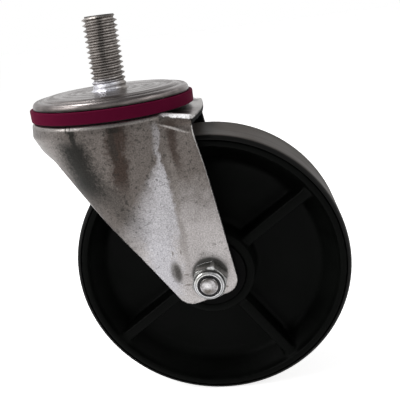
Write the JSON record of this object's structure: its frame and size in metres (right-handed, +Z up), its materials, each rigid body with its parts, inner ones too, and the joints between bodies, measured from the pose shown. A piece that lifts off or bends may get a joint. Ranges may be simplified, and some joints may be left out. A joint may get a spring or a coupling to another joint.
{
  "type": "swivel castor",
  "caption": "Swivel castor with a threaded stem, a ball-race head, a pressed-steel fork and a ribbed plastic wheel on a roller bearing.",
  "frame": {"origin": "centre of the threaded stem on the top disc's seating face", "axes": "+Z up along the stem, +X back to the trailing wheel, -Y to the side of the axle nut"},
  "size_m": [0.1093, 0.0588, 0.142],
  "materials": {
    "stem_steel": "zinc-plated rolled thread, slightly dull",
    "disc_zinc": "bright zinc plate over pressed sheet",
    "fork_zinc": "bright zinc plate with warm grey drawing marks",
    "race_steel": "zinc-plated pressed steel",
    "ball_steel": "polished bearing steel, greased",
    "bolt_zinc": "zinc-plated bolt",
    "nut_zinc": "bright zinc-plated nut",
    "seal_plastic": "moulded magenta plastic",
    "wheel_plastic": "black moulded plastic, faint sheen",
    "tread_rubber": "grey-brown matt tread, slightly dusty",
    "cage_plastic": "natural moulded plastic",
    "cap_plastic": "black moulded plastic",
    "insert_nylon": "dark nylon locking insert"
  },
  "bodies": {
    "head": {"threaded_stem": "stem_steel", "top_disc": "disc_zinc", "lower_cup": "race_steel", "lower_balls": "ball_steel"},
    "swivel_fork": {"fork": "fork_zinc", "upper_race": "race_steel", "seal_ring": "seal_plastic", "upper_balls": "ball_steel", "axle_bolt": "bolt_zinc", "axle_nut": "nut_zinc", "nut_insert": "insert_nylon", "axle_sleeve": "race_steel", "side_washer_near": "race_steel", "side_washer_far": "race_steel"},
    "wheel": {"wheel_core": "wheel_plastic", "tread": "tread_rubber", "bearing_cage": "cage_plastic", "bearing_rollers": "ball_steel", "bearing_cap_near": "cap_plastic", "bearing_cap_far": "cap_plastic"}
  },
  "joints": [
    {"name": "swivel", "type": "hinge", "parent": "head", "child": "swivel_fork", "pos_m": [0, 0, -0.00875], "axis": [0, 0, 1], "continuous": true},
    {"name": "roll", "type": "hinge", "parent": "swivel_fork", "child": "wheel", "pos_m": [0.0297, 0, -0.067], "axis": [0, 1, 0], "continuous": true}
  ]
}
